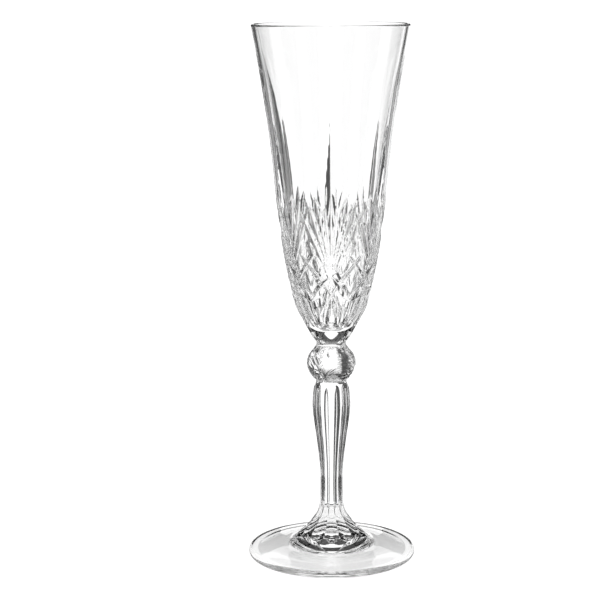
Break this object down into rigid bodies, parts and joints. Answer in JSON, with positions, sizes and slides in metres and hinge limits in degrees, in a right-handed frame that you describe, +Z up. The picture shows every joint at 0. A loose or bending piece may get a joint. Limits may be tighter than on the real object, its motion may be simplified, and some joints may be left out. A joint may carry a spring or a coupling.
{
  "type": "champagne flute",
  "caption": "Tall stemmed champagne flute in clear pressed crystal, with fans of cuts round a flared bowl, a ball knop, a fluted baluster stem and a disc foot.",
  "frame": {"origin": "middle of the surface the foot stands on", "axes": "+Z up along the glass's axis; a fan of cuts faces -Y"},
  "size_m": [0.0678, 0.0678, 0.215],
  "materials": {
    "clear_crystal": "pressed and fire-polished clear crystal, glossy"
  },
  "bodies": {
    "root": {"bowl": "clear_crystal", "knop": "clear_crystal", "stem": "clear_crystal", "foot": "clear_crystal"}
  },
  "joints": []
}
